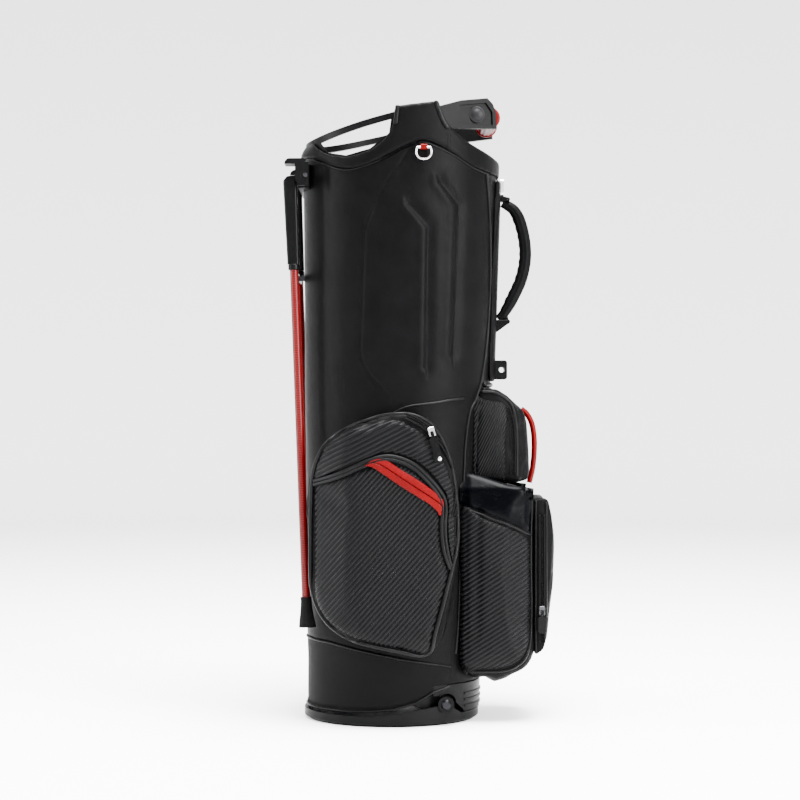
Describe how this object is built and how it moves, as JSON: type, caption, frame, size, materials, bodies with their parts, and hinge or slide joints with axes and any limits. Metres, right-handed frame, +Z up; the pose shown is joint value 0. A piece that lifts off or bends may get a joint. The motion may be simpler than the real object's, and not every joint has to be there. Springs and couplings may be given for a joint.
{
  "type": "golf stand bag",
  "caption": "Upright oval golf bag with club wells, side and rear pockets, a hinged sole, and two legs that swing out as the bag leans back.",
  "frame": {"origin": "centre of the flat foot face of the sole, on the floor", "axes": "+Z up, legs on -X, carry handle and rear pockets on +X, near side pocket with the towel ring on -Y"},
  "size_m": [0.3885, 0.2946, 0.895],
  "materials": {
    "sole_rubber": "matt",
    "sole_plastic": "fine texture",
    "steel": "satin",
    "shell_leather": "smooth semi-gloss",
    "skirt_fabric": "matt",
    "inner_rod": "satin",
    "lining": "brushed",
    "top_plastic": "fine texture",
    "cuff_leather": "smooth",
    "grip_red": "matt",
    "stud_plastic": "gloss",
    "handle_leather": "soft",
    "plate_metal": "satin",
    "ring_metal": "polished",
    "tab_red": "smooth",
    "leg_red": "clear-coated carbon weave",
    "pocket_leather": "smooth semi-gloss",
    "carbon_leather": "embossed twill",
    "lip_red": "gloss",
    "zip_tape": "matt",
    "zip_metal": "satin"
  },
  "bodies": {
    "base": {"sole_plate": "sole_plastic", "sole_tread": "sole_rubber", "pivot_bolts": "steel"},
    "trunk": {"base_cup": "sole_plastic", "heel_shell": "sole_plastic", "trunk_shell": "shell_leather", "base_skirt": "skirt_fabric", "stay_rods": "inner_rod", "divider_walls": "lining", "divider_top": "lining", "top_ring": "top_plastic", "top_cuff": "cuff_leather", "saddle_bindings": "cuff_leather", "handle_grip": "grip_red", "strap_studs": "stud_plastic", "spine_panel": "cuff_leather", "handle_anchors": "handle_leather", "strap_plate": "plate_metal", "strap_clip": "stud_plastic", "ring_tab": "tab_red", "leg_bracket": "sole_plastic", "leg_hinge_pins": "steel", "leg_springs": "steel", "rear_pocket": "pocket_leather", "valuables_pocket": "pocket_leather", "valuables_panel": "carbon_leather", "valuables_loop": "lip_red", "ball_pocket": "carbon_leather", "ball_zip": "zip_tape", "side_pocket_near": "pocket_leather", "side_pocket_far": "pocket_leather", "side_pocket_face_near": "carbon_leather", "side_pocket_face_far": "carbon_leather", "quick_pocket_near": "carbon_leather", "quick_pocket_far": "carbon_leather", "quick_pocket_lip_near": "lip_red", "quick_pocket_lip_far": "lip_red", "side_zip_near": "zip_tape", "side_zip_far": "zip_tape"},
    "leg_near": {"leg_head_near": "sole_plastic", "leg_tube_near": "leg_red", "leg_collar_near": "sole_plastic", "leg_foot_near": "sole_rubber"},
    "leg_far": {"leg_head_far": "sole_plastic", "leg_tube_far": "leg_red", "leg_collar_far": "sole_plastic", "leg_foot_far": "sole_rubber"},
    "push_rod": {"push_rod": "steel"},
    "carry_handle": {"carry_handle": "handle_leather"},
    "towel_ring": {"towel_ring": "ring_metal"},
    "side_slider_near": {"side_zip_slider_near": "zip_metal"},
    "side_pull_near": {"side_zip_pull_near": "zip_metal"},
    "side_slider_far": {"side_zip_slider_far": "zip_metal"},
    "side_pull_far": {"side_zip_pull_far": "zip_metal"},
    "ball_slider": {"ball_zip_slider": "zip_metal"},
    "ball_pull": {"ball_zip_pull": "zip_metal"}
  },
  "joints": [
    {"name": "lean", "type": "hinge", "parent": "base", "child": "trunk", "pos_m": [0.078, 0, 0.03], "axis": [0, -1, 0], "range_deg": [0, 25], "stiffness_Nm_per_rad": 8, "springref_deg": -28.65, "deforming": ["base_skirt"]},
    {"name": "leg_swing_near", "type": "hinge", "parent": "trunk", "child": "leg_near", "pos_m": [-0.13, -0.07, 0.782], "axis": [-0.4, 0.9165, 0], "range_deg": [0, 36.4]},
    {"name": "leg_swing_far", "type": "hinge", "parent": "trunk", "child": "leg_far", "pos_m": [-0.13, 0.07, 0.782], "axis": [0.4, 0.9165, 0], "range_deg": [0, 36.4]},
    {"name": "rod_lift", "type": "slide", "parent": "trunk", "child": "push_rod", "axis": [0, 0, 1], "range_m": [0, 0.0875]},
    {"name": "carry_swing", "type": "hinge", "parent": "trunk", "child": "carry_handle", "pos_m": [0.1684, 0, 0.666], "axis": [0, 0, 1], "range_deg": [-60, 60]},
    {"name": "towel_ring_swing", "type": "hinge", "parent": "trunk", "child": "towel_ring", "pos_m": [0.046, -0.11968, 0.817], "axis": [-1, 0, 0], "range_deg": [0, 100]},
    {"name": "side_zip_near", "type": "hinge", "parent": "trunk", "child": "side_slider_near", "pos_m": [-0.01845, -0.14, 0.33481], "axis": [0, 1, 0], "range_deg": [-15, 60]},
    {"name": "side_pull_near_swing", "type": "hinge", "parent": "side_slider_near", "child": "side_pull_near", "pos_m": [0.05709, -0.1453, 0.416], "axis": [-0.9703, 0, -0.2419], "range_deg": [0, 150]},
    {"name": "side_zip_far", "type": "hinge", "parent": "trunk", "child": "side_slider_far", "pos_m": [-0.01845, 0.14, 0.33481], "axis": [0, 1, 0], "range_deg": [-15, 60]},
    {"name": "side_pull_far_swing", "type": "hinge", "parent": "side_slider_far", "child": "side_pull_far", "pos_m": [0.05709, 0.1453, 0.416], "axis": [0.9703, 0, 0.2419], "range_deg": [0, 150]},
    {"name": "ball_zip_slide", "type": "slide", "parent": "trunk", "child": "ball_slider", "axis": [0, 0, 1], "range_m": [-0.034, 0.128]},
    {"name": "ball_pull_swing", "type": "hinge", "parent": "ball_slider", "child": "ball_pull", "pos_m": [0.216, -0.0693, 0.158], "axis": [-1, 0, 0], "range_deg": [0, 150]}
  ],
  "couplings": [
    {"joint": "leg_swing_near", "follows": "lean", "ratio": 1.45},
    {"joint": "leg_swing_far", "follows": "lean", "ratio": 1.45},
    {"joint": "rod_lift", "follows": "lean", "m_per_rad": 0.19939}
  ]
}
